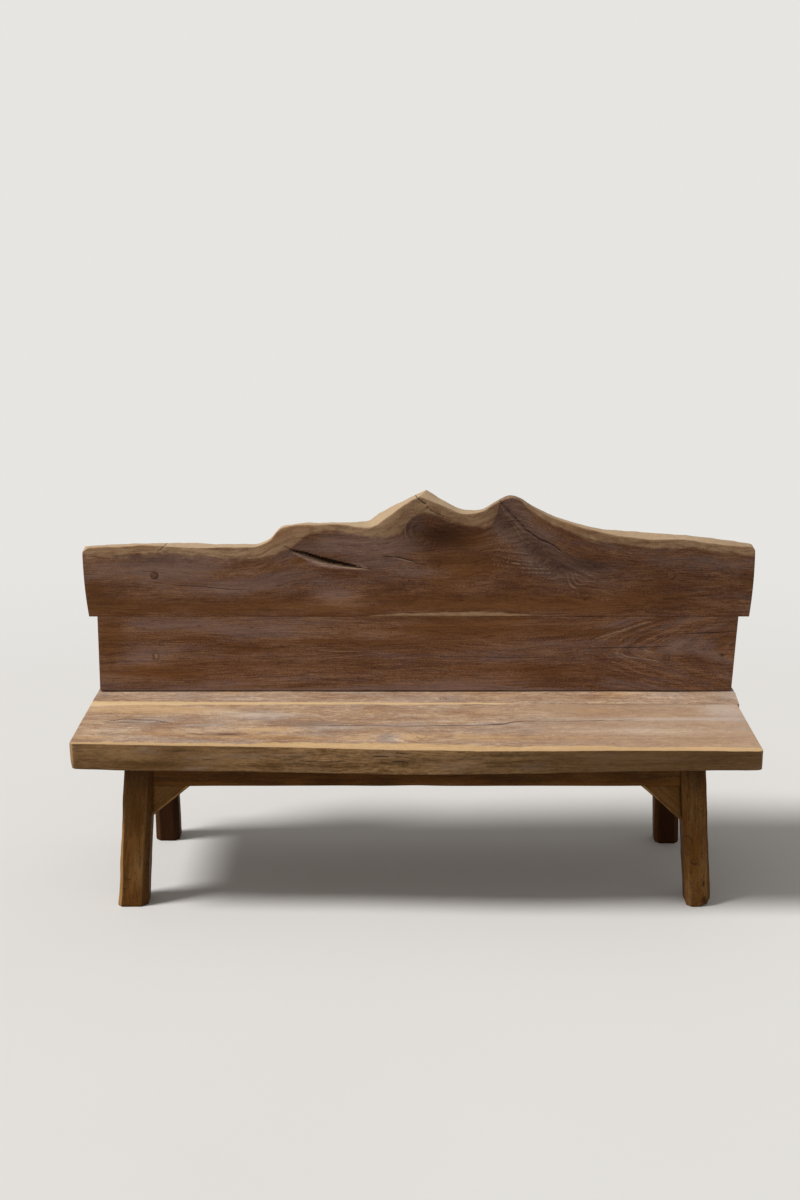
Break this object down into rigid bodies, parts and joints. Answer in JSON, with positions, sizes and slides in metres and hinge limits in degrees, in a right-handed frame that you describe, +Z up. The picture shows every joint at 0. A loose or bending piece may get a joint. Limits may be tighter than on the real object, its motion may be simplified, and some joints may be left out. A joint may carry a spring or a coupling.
{
  "type": "live-edge wooden bench",
  "caption": "Rustic wooden bench with thick seat boards, a leaning back crowned by a mountain-like live edge, and splayed hewn legs with corner braces.",
  "frame": {"origin": "on the floor, under the middle of the bench's bounding box", "axes": "+X along the bench to the right of someone facing its front, +Y towards the back, +Z up"},
  "size_m": [1.698, 0.5598, 0.938],
  "materials": {
    "seat_wood": "oiled, weathered",
    "back_wood": "oiled, weathered",
    "frame_wood": "hewn, oiled",
    "peg_wood": "cut flush, oiled"
  },
  "bodies": {
    "root": {"seat_front_slab": "seat_wood", "seat_rear_board": "seat_wood", "back_lower_board": "back_wood", "back_upper_slab": "back_wood", "front_leg_left": "frame_wood", "front_leg_right": "frame_wood", "rear_post_left": "frame_wood", "rear_post_right": "frame_wood", "front_apron": "frame_wood", "rear_apron": "frame_wood", "side_rail_left": "frame_wood", "side_rail_right": "frame_wood", "front_brace_left": "frame_wood", "front_brace_right": "frame_wood", "rear_brace_left": "frame_wood", "rear_brace_right": "frame_wood", "back_pegs": "peg_wood", "seat_edge_dowels": "peg_wood", "back_edge_dowels": "peg_wood", "seat_dowels": "peg_wood", "brace_dowels": "peg_wood"}
  },
  "joints": []
}
